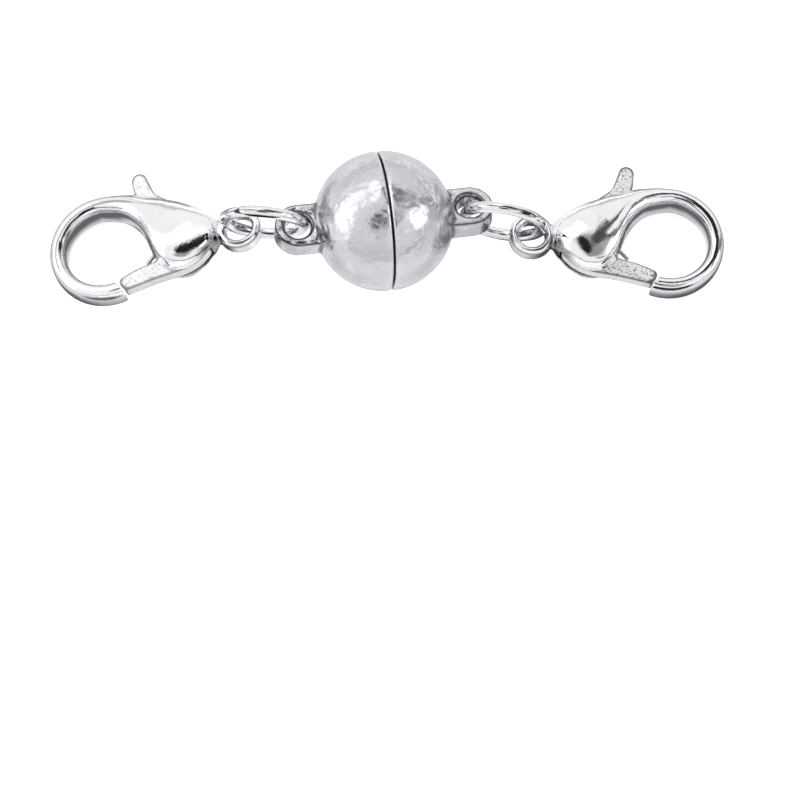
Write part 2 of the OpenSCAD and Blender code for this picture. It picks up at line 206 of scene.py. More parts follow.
# Cards that only the metal mirrors: name, how it lies, height, brightness, mottling, softness of its edge,
# and its path as (x, y, half width)
CARDS = [
    ("flag_over_left_claw", "flat", 6.8, 0.015, 1.7, 0.3,
     [(-13.4, -2.9, 0.6), (-12.3, -2.4, 1.7), (-10.4, -2.4, 2.5), (-8.4, -2.0, 2.8), (-6.6, -1.6, 2.2),
      (-5.4, -1.2, 1.2)]),
    ("flag_over_right_claw", "flat", 6.8, 0.015, 1.2, 0.35,
     [(10.1, 1.3, 0.6), (10.2, 0.3, 1.7), (10.4, -1.0, 2.4), (10.3, -2.3, 2.5), (9.9, -3.9, 1.8)]),
    ("flag_over_right_crest", "flat", 6.8, 0.07, 1.0, 0.75,
     [(12.0, -1.4, 0.6), (12.4, 0.3, 1.0), (12.8, 1.8, 0.85), (13.1, 3.2, 0.7), (13.4, 5.2, 0.55),
      (13.6, 8.0, 0.5)]),
    ("flag_over_right_side", "flat", 6.85, 0.30, 0.5, 0.9,
     [(10.6, 2.6, 2.4), (11.2, 0.6, 3.6), (11.6, -0.8, 4.2), (11.9, -2.2, 4.6), (12.2, -4.0, 4.8),
      (12.4, -6.5, 4.8)]),
    ("flag_over_left_side", "flat", 6.85, 0.34, 0.4, 0.7,
     [(-15.0, -6.0, 1.2), (-12.6, -5.2, 2.4), (-10.0, -5.2, 3.0), (-7.0, -4.8, 3.0)]),
    ("flag_by_right_hook", "flat", 3.2, 0.02, 0.7, 0.5,
     [(16.6, 2.4, 0.4), (17.8, 1.9, 0.6), (18.8, 1.1, 1.1), (19.3, 0.2, 0.55), (19.65, -0.6, 0.45),
      (19.95, -1.3, 0.45), (20.5, -2.3, 0.5), (21.0, -3.6, 0.6), (20.9, -5.2, 0.7)]),
    ("flag_by_left_hook", "flat", 3.2, 0.02, 0.9, 0.5,
     [(-18.3, -0.1, 0.4), (-17.3, 0.1, 0.6), (-16.2, 0.1, 0.5), (-14.4, 0.8, 0.6)]),
    ("flag_by_right_tip", "upright", 1.7, 0.03, 0.5, 0.5,
     [(13.2, -4.9, 0.6), (14.6, -5.1, 1.0), (16.4, -5.2, 1.1), (18.0, -4.9, 1.0), (19.4, -4.3, 0.7)]),
    ("flag_by_left_tip", "upright", 0.95, 0.15, 0.8, 0.6,
     [(-13.8, -5.6, 0.7), (-15.4, -5.7, 1.0), (-17.0, -5.5, 1.0), (-18.8, -4.6, 0.8)]),
    ("flag_over_right_front", "flat", 6.8, 0.25, 0.6, 0.9,
     [(13.5, -6.5, 1.5), (15.5, -7.5, 2.5), (18.5, -8.0, 2.5), (21.5, -8.5, 2.0)]),
    ("flag_round_left_hook", "flat", 3.2, 0.42, 0.9, 0.9,
     [(-13.8, 2.1, 0.4), (-15.3, 2.2, 0.5), (-16.8, 2.1, 0.5), (-18.3, 1.2, 0.5), (-19.3, 0.2, 0.5),
      (-19.7, -0.6, 0.5), (-19.9, -1.8, 0.5), (-19.5, -3.2, 0.5)]),
    ("card_over_left_dome", "flat", 6.9, 1.1, 0.15, 0.9,
     [(-13.6, -0.5, 0.8), (-12.0, 0.1, 1.5), (-10.0, 0.5, 2.0), (-8.2, 1.0, 2.0), (-6.8, 1.4, 1.5)]),
]
# Two more follow the jump rings' outer sides, from one angle to another, by this far out, back and wide
RING_CARDS = {"left": (55, 155), "right": (25, 125)}
RING_CARD_R, RING_CARD_BACK, RING_CARD_HALF_WIDTH = 3.0, 0.1, 0.17

# The camera's aim, from the ball's centre: to the right, and down in the picture
AIM_RIGHT, AIM_DOWN = 0.9375, 10.17


# Places

def turned(x=0, y=0, z=0):
    """Turns by x, then y, then z degrees."""
    about = [Matrix.Rotation(math.radians(a), 4, n) for a, n in ((z, "Z"), (y, "Y"), (x, "X"))]
    return about[0] @ about[1] @ about[2]


def ball_place(side):
    """What is drawn along +X from the ball's centre, put on the left or the right of the ball."""
    facing = turned(z=180 if side == "left" else 0)
    return Matrix.Translation(BALL_AT) @ turned(0, BALL_DIP, BALL_YAW) @ facing


def ring_place(side):
    """What is drawn about Z, put where a jump ring lies."""
    r = RINGS[side]
    return Matrix.Translation(BALL_AT + Vector(r["at"])) @ turned(r["lean"], 0, r["turn"]) @ turned(90)


def claw_place(side):
    """The claw's own frame, u, v and w, put where a claw lies."""
    place = Matrix.Translation(BALL_AT + Vector(CLAWS[side]["at"]))
    for turns in CLAWS[side]["turns"]:
        place = place @ turned(*turns)
    return place


def lever_place(side):
    """The claw's frame with the gate's angle at rest taken in."""
    pivot = Matrix.Translation((*PIVOT, 0))
    return claw_place(side) @ pivot @ turned(z=CLAWS[side]["lever"]) @ pivot.inverted()


# Outlines and solids, in millimetres

def arc(centre, r, a0, a1, n):
    """n + 1 points of an arc from a0 to a1 degrees."""
    a = np.radians(np.linspace(a0, a1, n + 1))
    return np.stack([centre[0] + r * np.cos(a), centre[1] + r * np.sin(a)], 1)


def through(points, steps, closed):
    """A smooth curve through points, with steps points between two of them."""
    p = np.asarray(points, float)
    n = len(p)
    last = n if closed else n - 1

    def at(i):
        return p[i % n] if closed else p[min(max(i, 0), n - 1)]

    out = []
    for i in range(last):
        a, b, c, d = at(i - 1), at(i), at(i + 1), at(i + 2)
        for f in np.arange(steps) / steps:
            out.append(0.5 * (2 * b + (c - a) * f + (2 * a - 5 * b + 4 * c - d) * f**2
                              + (3 * b - a - 3 * c + d) * f**3))
    return np.array(out if closed else [*out, p[-1]])


def even(points, step):
    """A closed outline's points moved to lie evenly along it."""
    p = np.vstack([points, points[:1]])
    run = np.concatenate([[0], np.cumsum(np.linalg.norm(np.diff(p, axis=0), axis=1))])
    at = np.linspace(0, run[-1], int(run[-1] / step) + 1)[:-1]
    return np.stack([np.interp(at, run, p[:, k]) for k in range(2)], 1)


def inset(points, by):
    """A closed outline that runs anticlockwise, moved inward."""
    along = np.roll(points, -1, 0) - np.roll(points, 1, 0)
    along /= np.linalg.norm(along, axis=1)[:, None]
    return points + by * np.stack([-along[:, 1], along[:, 0]], 1)


def mesh_of(name, verts, faces):
    """A mesh whose faces all look outward."""
    mesh = bpy.data.meshes.new(name)
    mesh.from_pydata([tuple(map(float, v)) for v in verts], [], faces)
    bm = bmesh.new()
    bm.from_mesh(mesh)
    bmesh.ops.recalc_face_normals(bm, faces=bm.faces)
    bm.to_mesh(mesh)
    bm.free()
    return mesh


def loft(name, rings):
    """A solid through closed rings of equal length."""
    rings = np.asarray(rings, float)
    rows, n = rings.shape[:2]
    faces = [(i * n + j, i * n + (j + 1) % n, (i + 1) * n + (j + 1) % n, (i + 1) * n + j)
             for i in range(rows - 1) for j in range(n)]
    faces += [tuple(range(n))[::-1], tuple((rows - 1) * n + j for j in range(n))]
    return mesh_of(name, rings.reshape(-1, 3), faces)


def lathe(name, profile, segments):
    """A solid turned about Z from (radius, height) points; the first and last are its ends' edges."""
    a = 2 * math.pi * np.arange(segments) / segments
    return loft(name, [np.stack([r * np.cos(a), r * np.sin(a), np.full(segments, h)], 1) for r, h in profile])


def prism(name, outline, low, high):
    """A solid of one outline, from one height to another."""
    p = np.asarray(outline, float)
    return loft(name, [np.column_stack([p, np.full(len(p), h)]) for h in (low, high)])


def hole_profile(d, t, bevel):
    """The edge of what a hole with two bevelled edges takes out of a plate."""
    r, top, out = d / 2, t / 2, 0.6  # out is how far the cutter reaches past the plate
    return [(r + bevel + out, -top - out), (r + bevel, -top), (r, -top + bevel),
            (r, top - bevel), (r + bevel, top), (r + bevel + out, top + out)]


def clamp(value):
    return min(max(value, 0), 1)


def in_scene(name, data):
    """A new object in the scene."""
    o = bpy.data.objects.new(name, data)
    bpy.context.scene.collection.objects.link(o)
    return o


def cast(name, start, changes, voxel, passes, keep):
    """Joins and cuts solids, then rounds all edges as a casting's are.

    changes holds (operation, mesh), voxel is the skin's fineness in millimetres, passes the times that it is
    smoothed, and keep the part of its faces that is kept.
    """
    body = in_scene("working", start)
    tools = []
    for operation, mesh in changes:
        tool = in_scene("working", mesh)
        tools.append(tool)
        m = body.modifiers.new("change", "BOOLEAN")
        m.operation, m.object, m.solver = operation, tool, "EXACT"
    m = body.modifiers.new("skin", "REMESH")
    m.mode, m.voxel_size, m.use_smooth_shade = "VOXEL", voxel, True
    m = body.modifiers.new("round", "SMOOTH")
    m.factor, m.iterations = 0.5, passes
    m = body.modifiers.new("thin", "DECIMATE")
    m.ratio = keep
    graph = bpy.context.evaluated_depsgraph_get()
    mesh = bpy.data.meshes.new_from_object(body.evaluated_get(graph), depsgraph=graph)
    mesh.name = name
    for o in (body, *tools):
        old = o.data
        bpy.data.objects.remove(o)
        bpy.data.meshes.remove(old)
    if len(mesh.polygons) < FEWEST_FACES:
        raise RuntimeError(f"{name} came out empty")
    return mesh


def mark_hollows(mesh, passes=2, scale=0.2):
    """Stores how far each point lies in a hollow (to +1) or on an edge (to -1).

    It is the depth below the mesh when smoothed passes times, and scale is the depth that counts as 1.
    """
    n = len(mesh.vertices)
    co = np.empty(n * 3, np.float32)
    mesh.vertices.foreach_get("co", co)
    co = co.reshape(-1, 3).astype(float)
    normal = np.empty(n * 3, np.float32)
    mesh.vertices.foreach_get("normal", normal)
    ends = np.empty(len(mesh.edges) * 2, np.int32)
    mesh.edges.foreach_get("vertices", ends)
    a, b = ends.reshape(-1, 2).T
    count = np.maximum(np.bincount(np.concatenate([a, b]), minlength=n), 1)

    def spread(values):
        sums = [np.bincount(a, v[b], n) + np.bincount(b, v[a], n) for v in values.T]
        return np.stack(sums, 1) / count[:, None]

    smooth = co
    for _ in range(passes):
        smooth = 0.4 * smooth + 0.6 * spread(smooth)
    depth = ((smooth - co) * normal.reshape(-1, 3)).sum(1) / scale
    for _ in range(4):
        depth = 0.5 * depth + 0.5 * spread(depth[:, None])[:, 0]
    layer = mesh.attributes.new("hollow", "FLOAT", "POINT")
    layer.data.foreach_set("value", np.clip(depth, -1, 1).astype(np.float32))


def mark_points(mesh, name, value):
    """Stores a number for each point, worked out from its place and its normal in the piece's own frame."""
    layer = mesh.attributes.new(name, "FLOAT", "POINT")
    layer.data.foreach_set("value", [float(value(v.co, v.normal)) for v in mesh.vertices])


def put(name, mesh, place, body, material, node):
    """The finished piece: its mesh in its place in metres, riding on its body in place of its CAD node."""
    mesh.name = name
    mesh.transform(Matrix.Scale(MM, 4) @ place)
    mesh.shade_smooth()
    mesh.materials.clear()
    mesh.materials.append(material)
    o = in_scene(name, mesh)
    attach(o, body)
    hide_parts(node)
    return o


# Materials

class Shading:
    """Adds and joins nodes in one tree."""

    def __init__(self, tree):
        self.tree = tree

    def add(self, kind, settings=None, **inputs):
        """A node with its settings and its inputs: i0 is the first input, and Base_Color the one named so."""
        node = self.tree.nodes.new(kind)
        for key, value in (settings or {}).items():
            setattr(node, key, value)
        for key, value in inputs.items():
            name = key.replace("_", " ")
            socket = node.inputs[int(key[1:])] if key[0] == "i" and key[1:].isdigit() else node.inputs[name]
            if isinstance(value, bpy.types.NodeSocket):
                self.tree.links.new(value, socket)
            else:
                socket.default_value = value
        return node

    def math(self, operation, a, b=0.0):
        return self.add("ShaderNodeMath", {"operation": operation}, i0=a, i1=b).outputs[0]

    def ramp(self, value, low, high, to_low=0.0, to_high=1.0):
        """Runs smoothly from to_low at low to to_high at high."""
        node = self.add("ShaderNodeMapRange", {"interpolation_type": "SMOOTHSTEP"}, Value=value)
        for name, v in (("From Min", low), ("From Max", high), ("To Min", to_low), ("To Max", to_high)):
            node.inputs[name].default_value = v
        return node.outputs[0]

    def attribute(self, name):
        """A number that the mesh holds for each point."""
        return self.add("ShaderNodeAttribute", {"attribute_name": name}).outputs["Fac"]

    def product(self, first, *rest):
        for value in rest:
            first = self.math("MULTIPLY", first, value)
        return first

    def noise(self, at, scale, detail, roughness, distortion=0.0):
        return self.add("ShaderNodeTexNoise", None, Vector=at, Scale=scale, Detail=detail,
                        Roughness=roughness, Distortion=distortion).outputs[0]

    def mix(self, factor, a, b):
        node = self.add("ShaderNodeMix", {"data_type": "RGBA"})
        for socket, value in ((node.inputs[0], factor), (node.inputs[6], a), (node.inputs[7], b)):
            if isinstance(value, bpy.types.NodeSocket):
                self.tree.links.new(value, socket)
            else:
                socket.default_value = value
        return node.outputs[2]


def rgba(colour, by=1.0):
    """A colour, lighter or darker by a factor."""
    return (*(c * by for c in colour[:3]), 1.0)


def metal(name, colour, roughness, cloud, cloud_scale, peel, peel_scale, grain, grain_scale=9000, brushed=0.0,
          speckle=0.0, spots=0.0, lines=0.0, edge=0.0, soot=0.0, metallic=1.0):
    """Plated metal, with all scales in waves a metre.

    cloud is how much darker some patches are, and peel and grain how wavy and how grainy the skin is. brushed
    adds streaks, speckle and spots dark grains, lines a dark line along edges, edge bright wear on them, and a
    last weight paints thin dark lines and shade where the mesh is marked for them. Hollows are painted darker,
    as shade, and are rougher. Where the mesh is polished it is smooth and has no spots.
    """
    material = bpy.data.materials.get(name)
    if material:
        return material
    material = bpy.data.materials.new(name)
    material.use_nodes = True
    s = Shading(material.node_tree)
    shader = material.node_tree.nodes["Principled BSDF"]
    shader.inputs["Metallic"].default_value = metallic
    at = s.add("ShaderNodeTexCoord").outputs["Object"]
    hollow, polish = s.attribute("hollow"), s.attribute("polish")
    clouds = s.noise(at, cloud_scale, detail=4.0, roughness=0.6, distortion=0.6)
    fine = s.noise(at, grain_scale, detail=2.0, roughness=0.6)
    deep = s.ramp(hollow, 0.12, 0.8)

    def darkened(base, amount, tint):
        """The base, taken towards this tint of the plating's colour."""
        return s.mix(amount, base, rgba(colour, tint))

    base = s.mix(s.ramp(clouds, 0.32, 0.68), rgba(colour, 1 - cloud), rgba(colour))
    # Hollows are painted darker, as shade that falls in them
    base = darkened(base, s.product(deep, 0.75), tint=0.2)
    if edge:
        base = s.mix(s.product(s.ramp(hollow, -0.15, -0.7), edge), base, rgba(WORN_EDGE))
    if spots:
        pits = s.ramp(s.noise(at, grain_scale * 0.8, detail=1.0, roughness=0.5), 0.56, 0.64)
        base = darkened(base, s.product(pits, s.math("SUBTRACT", 1.0, polish), spots), tint=0.28)
    if lines:
        base = darkened(base, s.product(s.ramp(hollow, -0.3, -0.6), lines), tint=0.12)
    # Painted shade in the marked wedge below each claw's neck, and thin dark lines along marked edges
    if soot:
        base = darkened(base, s.product(s.attribute("soot"), soot), tint=0.08)
    if speckle:
        base = darkened(base, s.ramp(fine, 0.6, 0.36, 0.0, speckle), tint=0.4)
    rough = s.ramp(clouds, 0.3, 0.7, roughness * 1.35, roughness * 0.75)
    rough = s.product(rough, s.math("SUBTRACT", 1.0, s.product(polish, 0.65)))
    rough = s.math("ADD", rough, s.product(deep, 0.2))
    height = s.product(s.noise(at, peel_scale, detail=2.0, roughness=0.5), peel / peel_scale)
    height = s.math("ADD", height, s.product(fine, grain / grain_scale))
    if brushed:
        drawn_out = s.add("ShaderNodeMapping", None, Vector=at, Scale=(1.0, 1.0, 0.04)).outputs[0]
        streaks = s.noise(drawn_out, STREAK_SCALE, detail=3.0, roughness=0.7)
        height = s.math("ADD", height, s.product(streaks, brushed / STREAK_SCALE))
        base = darkened(base, s.product(s.ramp(streaks, 0.35, 0.7), 0.25), tint=0.75)
    bump = s.add("ShaderNodeBump", None, Height=height, Distance=1.0, Strength=1.0)
    s.tree.links.new(bump.outputs[0], shader.inputs["Normal"])
    s.tree.links.new(base, shader.inputs["Base Color"])
    s.tree.links.new(rough, shader.inputs["Roughness"])
    return material


def finish_of(kind):
    """The material of one kind of piece, in the panel's colour."""
    name, setting, looks = FINISHES[kind]
    return metal(name, getattr(bpy.context.scene.clasp_finish, setting), **looks)


# Pieces

def cup_mesh(side, sizes):
    """Half of the ball with its eye and the pocket for its magnet, drawn along +X."""
    r, seam = sizes.ball_d / MM / 2, sizes.seam_gap / MM / 2
    cy = seam + CUP_LIP_R
    cx = math.sqrt((r - CUP_LIP_R) ** 2 - cy**2)
    start = math.degrees(math.atan2(cy, cx))
    pocket_r = sizes.magnet_d / MM / 2 + POCKET_ROUND
    pocket_end = seam + sizes.magnet_t / MM + POCKET_BEHIND
    outline = np.vstack([arc((cx, cy), CUP_LIP_R, -90, start, 12), arc((0, 0), r, start, 89.6, 90)[1:]])
    dome = lathe("cup", [(pocket_r - 0.4, seam), *outline], segments=220)
    pocket = lathe("pocket", [(pocket_r, -0.5), (pocket_r, pocket_end)], segments=160)
    for mesh in (dome, pocket):
        mesh.transform(turned(y=90))
    roll, eye_x, root = turned(EYE_ROLL[side]), r + EYE_OUT, r - 1.2
    plate = np.vstack([arc((eye_x, 0), EYE_HALF_WIDTH, -90, 90, 40),
                       [(root, EYE_HALF_WIDTH), (root, -EYE_HALF_WIDTH)]])
    eye = prism("eye", plate, -EYE_HALF_THICKNESS, EYE_HALF_THICKNESS)
    eye.transform(roll)
    hole = lathe("hole", hole_profile(EYE_HOLE_D, 2 * EYE_HALF_THICKNESS, EYE_HOLE_BEVEL), segments=64)
    hole.transform(roll @ Matrix.Translation((eye_x, 0, 0)))
    mesh = cast("cup", dome, [("UNION", eye), ("DIFFERENCE", pocket), ("DIFFERENCE", hole)],
                voxel=0.06, passes=5, keep=0.6)
    mark_hollows(mesh, passes=40, scale=0.06)
    mark_points(mesh, "polish", lambda at, normal: clamp((at.length - r - 0.02) / 0.1))
    unroll = roll.inverted()

    def soot(at, normal):
        """Thin dark lines on the seam's lip and along the eye's edges."""
        if at.length < r + 0.05:
            return clamp((SEAM_LINE - at.x) / SEAM_LINE_FADE) if math.hypot(at.y, at.z) > r - 0.12 else 0
        p = unroll @ at
        past = p.x - eye_x
        if abs(p.y) > 1.0:  # the plate's sides run straight back to the ball
            past = max(past, 0)
        return near_edge(math.hypot(past, p.y), abs(p.z), EYE_LINES, 0.05)

    mark_points(mesh, "soot", soot)
    return mesh


def near_edge(d, w, edges, width):
    """How near a point at distance d from an axis and height w lies to any of some edges, from 0 to 1."""
    return clamp(2 - min(math.hypot(d - a, w - b) for a, b in edges) / width)


def magnet_mesh(sizes):
    """A disc about Z with rounded edges, a little inside the seam."""
    r, t, low = sizes.magnet_d / MM / 2, sizes.magnet_t / MM, sizes.seam_gap / MM / 2 + MAGNET_SUNK
    b, c = MAGNET_BEVEL, MAGNET_BEVEL * 0.3
    mesh = lathe("magnet", [(r - 1.5, low), (r - b, low), (r - c, low + c), (r, low + b),
                            (r, low + t - b), (r - c, low + t - c), (r - b, low + t)], segments=128)
    mark_hollows(mesh)
    return mesh


def claw_rows(steps, loop_steps):
    """Rows across the casting from the neck to the hook's tip; the hook is thickest at its root."""
    loop = []
    for f in np.linspace(0, 1, loop_steps + 1):
        outer = math.radians(HOOK_START + (HOOK_END_OUT - HOOK_START) * f)
        inner = math.radians(HOOK_START + (HOOK_END_IN - HOOK_START) * f)
        root = ((1 + math.sin(inner)) / 2) ** 2
        out = HOOK_CENTRE + HOOK_R * np.array((math.cos(outer), math.sin(outer)))
        inn = HOOK_CENTRE + (HOOK_IN_R - 0.1 * root) * np.array((math.cos(inner), math.sin(inner)))
        loop.append((*out, *inn, HOOK_HALF_T + 0.12 * root, 0))
    housing = through([*HOUSING_ROWS, loop[0], loop[loop_steps // 10]], steps, False)
    return np.vstack([housing[:len(HOUSING_ROWS) * steps], loop])


def claw_section(row, n):
    """A closed section across the casting; the housing has a raised rim along its lower side."""
    outer, inner, half_t, crest_in = row[0:2], row[2:4], row[4], row[5]
    mid, arm = (outer + inner) / 2, (outer - inner) / 2
    a = 2 * math.pi * np.arange(n) / n
    in_housing = half_t > 1.03
    p = 2 / (np.interp(outer[0], POWER_AT, POWER) if in_housing else POWER[-1])
    x = np.sign(np.cos(a)) * np.abs(np.cos(a)) ** p
    w = np.sign(np.sin(a)) * np.abs(np.sin(a)) ** p * half_t
    x = x - crest_in * (1 - x * x)
    fade = np.clip((mid[0] - RIM_FROM) / 0.5, 0, 1) * np.clip((RIM_TO - mid[0]) / 0.5, 0, 1)
    rim = RIM_RISE * fade * np.clip((RIM_HALF_WIDTH - np.abs(w)) / 0.06, 0, 1) * (x < -0.5)
    x = x - rim / max(np.hypot(*arm), 0.1)
    return np.column_stack([mid[0] + arm[0] * x, mid[1] + arm[1] * x, w])


def claw_body_mesh():
    """The claw's casting: eyelet, neck, housing and hook."""
    shell = loft("claw", [claw_section(row, 160) for row in claw_rows(10, 110)])
    r, t, b = EYELET_R, EYELET_HALF_T, EYELET_BEVEL
    eyelet = lathe("eyelet", [(r - b, -t), (r, -t + b), (r, t - b), (r - b, t)], segments=96)
    hole = lathe("hole", hole_profile(EYELET_HOLE_D, 2 * t, b), segments=64)
    slot = prism("slot", SLOT_OUTLINE, -SLOT_HALF, SLOT_HALF)
    bore = lathe("bore", [(PIN_BORE_R, -1.25), (PIN_BORE_R, 1.25)], segments=48)
    bore.transform(Matrix.Translation((*PIVOT, 0)))
    changes = [("UNION", eyelet), ("DIFFERENCE", hole), ("DIFFERENCE", slot), ("DIFFERENCE", bore)]
    mesh = cast("claw", shell, changes, voxel=0.05, passes=5, keep=0.6)
    mark_hollows(mesh, passes=40, scale=0.06)

    def soot(at, normal):
        """Thin dark lines on the eyelet's edges, and a wedge of painted shade below the neck."""
        if at.x < WEDGE_FROM:
            return near_edge(math.hypot(at.x, at.y), abs(at.z), EYELET_LINES, 0.04)
        # The wedge below the neck: painted shade
        return clamp(min((at.x - WEDGE_FROM) / 0.15, (WEDGE_TO - at.x) / 0.5,
                         (WEDGE_HALF_WIDTH - abs(at.z)) / 0.2, (WEDGE_TOP - at.y) / 0.15))

    mark_points(mesh, "soot", soot)
    return mesh


def lever_mesh():
    """Gate, hub and thumb tab in one plate, with a recess for the spring."""
    outline = through([*GATE_OUTLINE, *arc(TAB_CENTRE, TAB_R, -8, 155, 8), *TAB_BACK], 6, True)
    outline = even(outline, 0.06)
    levels = [(inset(outline, by), side * (LEVER_HALF - drop))
              for side in (-1, 1) for by, drop in LEVER_EDGE[::-side]]
    plate = loft("lever", [np.column_stack([p, np.full(len(p), h)]) for p, h in levels])
    hub = lathe("hub", [(HUB_R, -LEVER_HALF), (HUB_R, LEVER_HALF)], segments=96)
    bore = lathe("bore", [(LEVER_BORE_R, -1), (LEVER_BORE_R, 1)], segments=48)
    recess = lathe("recess", [(RECESS_R, RECESS_FLOOR), (RECESS_R, 1)], segments=64)
    changes = [("UNION", hub), ("DIFFERENCE", bore), ("DIFFERENCE", recess)]
    at_pivot = Matrix.Translation((*PIVOT, 0))
    for mesh in (hub, bore, recess):
        mesh.transform(at_pivot)
    low, high = CHANNEL_SIDES
    for leg in (NECK_LEG_END, GATE_LEG_END):
        angle = math.degrees(math.atan2(leg[1] - PIVOT[1], leg[0] - PIVOT[0]))
        channel = prism("channel", [(0, low), (CHANNEL_LENGTH, low), (CHANNEL_LENGTH, high), (0, high)],
                        RECESS_FLOOR, 1)
        channel.transform(at_pivot @ turned(z=angle))
        changes.append(("DIFFERENCE", channel))
    mesh = cast("lever", plate, changes, voxel=0.045, passes=4, keep=0.7)
    mark_hollows(mesh, passes=30, scale=0.06)
    mark_points(mesh, "polish", lambda at, normal: clamp((0.6 - abs(normal.z)) / 0.3))  # the plate's edges
    return mesh


def pin_mesh():
    """The pin that the lever turns on, with rounded ends."""
    mesh = lathe("pin", [*((r, -w) for r, w in PIN_END), *reversed(PIN_END)], segments=64)
    mesh.transform(Matrix.Translation((*PIVOT, 0)))
    mark_hollows(mesh)
    return mesh


def wire(name, path, r, n, crown):
    """A round wire along a path, whose rounded ends rise by crown."""
    along = np.gradient(path, axis=0)
    along /= np.linalg.norm(along, axis=1)[:, None]
    a = 2 * math.pi * np.arange(n) / n
    rings = []
    for p, t in zip(path, along):
        s = np.cross(t, (0.04, 0.03, 1.0))
        s /= np.linalg.norm(s)
        rings.append(p + r * (np.cos(a)[:, None] * s + np.sin(a)[:, None] * np.cross(s, t)))
    first, last = [[p + (ring - p) * k + t * crown * h for k, h in ((0.92, 0.6), (0.75, 1.0))]
                   for ring, p, t in ((rings[0], path[0], -along[0]), (rings[-1], path[-1], along[-1]))]
    return loft(name, [*first[::-1], *rings, *last])


def ring_mesh(side, sizes):
    """A jump ring about Z, of round wire that is cut through at one place."""
    wire_r = sizes.wire_d / MM / 2
    ring_r = sizes.ring_d / MM / 2 - wire_r
    cut, opening = RINGS[side]["cut"], math.degrees(RING_CUT / ring_r)
    a = np.radians(np.linspace(cut + opening / 2, cut + 360 - opening / 2, 200))
    path = np.column_stack([ring_r * np.cos(a), ring_r * np.sin(a), np.zeros(len(a))])
    b = 2 * math.pi * np.arange(36) / 36
    rings = []
    for i, (p, angle) in enumerate(zip(path, a)):
        out = np.array((math.cos(angle), math.sin(angle), 0))
        r = wire_r * (0.9 if i in (0, len(path) - 1) else 1.0)
        rings.append(p + r * (np.cos(b)[:, None] * out + np.sin(b)[:, None] * np.array((0, 0, 1.0))))
    mesh = loft("ring", rings)
    mark_hollows(mesh)
    return mesh


def spring_mesh():
    """A coil round the pin with a leg towards the neck and one towards the gate."""
    coil_r = PIN_R + SPRING_WIRE_R + 0.06
    low = RECESS_FLOOR + SPRING_WIRE_R + 0.03
    high = low + SPRING_RISE

    def leave(p, side):
        """The angle at which a leg that ends at p leaves the coil."""
        d = (p[0] - PIVOT[0], p[1] - PIVOT[1])
        return math.degrees(math.atan2(d[1], d[0])) + side * math.degrees(math.acos(coil_r / math.hypot(*d)))

    start, end = leave(NECK_LEG_END, -1), leave(GATE_LEG_END, 1) - 360
    f = np.linspace(0, 1, 90)
    a = np.radians(start + (end - start) * f)
    coil = np.column_stack([PIVOT[0] + coil_r * np.cos(a), PIVOT[1] + coil_r * np.sin(a),
                            high + (low - high) * f])
    to_neck = np.linspace((*NECK_LEG_END, high), coil[0], 12)
    to_gate = np.linspace((*GATE_LEG_END, low), coil[-1], 12)
    path = np.vstack([to_neck[:-1], coil, to_gate[::-1][1:]])
    mesh = wire("spring", path, SPRING_WIRE_R, 20, crown=0.02)
    mark_hollows(mesh)
    return mesh


# Settings

def length_setting(name, description, millimetres, precision=5):
    """A length in the panel."""
    return FloatProperty(name=name, description=description, default=millimetres * MM, unit="LENGTH",
                         precision=precision)


class ClaspSizes(bpy.types.PropertyGroup):
    """Sizes that a user would change"""

    ball_d: length_setting("Ball", "Diameter of the ball", 8.0)
    seam_gap: length_setting("Seam", "Gap between the cups", 0.05, precision=6)
    magnet_d: length_setting("Magnet", "Diameter of each magnet", 5.2)
    magnet_t: length_setting("Magnet depth", "Thickness of each magnet", 1.5)
    ring_d: length_setting("Jump ring", "Outer diameter of each jump ring", 5.1)
    wire_d: length_setting("Ring wire", "Thickness of the rings' wire", 0.66)


def colour_setting(name, description, default):
    """A colour in the panel."""
    return FloatVectorProperty(name=name, description=description, subtype="COLOR", default=default,
                               min=0, max=1)


class ClaspFinish(bpy.types.PropertyGroup):
    """Colours of the plating and the metals"""

    cup: colour_setting("Cups", "Satin plating of the ball", (0.70, 0.708, 0.735))
    magnet: colour_setting("Magnets", "Nickel of the magnets", (0.90, 0.90, 0.91))
    ring: colour_setting("Jump rings", "Plating of the rings", (0.88, 0.886, 0.905))
    claw: colour_setting("Claws", "Polished plating of the claws", (0.94, 0.946, 0.965))
    lever: colour_setting("Levers", "Grainy plating of the levers", (0.93, 0.933, 0.94))
    pin: colour_setting("Pins and springs", "Bare steel", (0.62, 0.62, 0.63))


class ClaspStage(bpy.types.PropertyGroup):
    """Camera, floor and light"""

    elevation: FloatProperty(name="Camera height", description="Angle of the camera above the floor",
                             default=math.radians(67), subtype="ANGLE")
    distance: FloatProperty(name="Camera distance", description="From the camera to its aim", default=0.505,
                            unit="LENGTH")
    lens: FloatProperty(name="Lens", description="Focal length in millimetres", default=400.0)
    floor: colour_setting("Floor", "Colour of the floor", (0.93, 0.93, 0.935))
    tent: FloatProperty(name="Tent light", description="Brightness of the light tent", default=1.0)


# Operators

class CLASP_OT_cups(bpy.types.Operator):
    """Make the two cups of the ball, each with its eye"""

    bl_idname = "clasp.cups"
    bl_label = "Cups"

    def execute(self, context):
        for side in SIDES:
            put(f"{side}_cup_casting", cup_mesh(side, context.scene.clasp_sizes), ball_place(side),
                f"{side}_half", finish_of("cup"), f"{side}_cup")
        return {"FINISHED"}


class CLASP_OT_magnets(bpy.types.Operator):
    """Make the two disc magnets"""

    bl_idname = "clasp.magnets"
    bl_label = "Magnets"

    def execute(self, context):
        for side in SIDES:
            mesh = magnet_mesh(context.scene.clasp_sizes)
            o = put(f"{side}_magnet_disc", mesh, ball_place(side) @ turned(y=90),
                    f"{side}_half", finish_of("magnet"), f"{side}_magnet")
            o.data.set_sharp_from_angle(angle=math.radians(40))
        return {"FINISHED"}


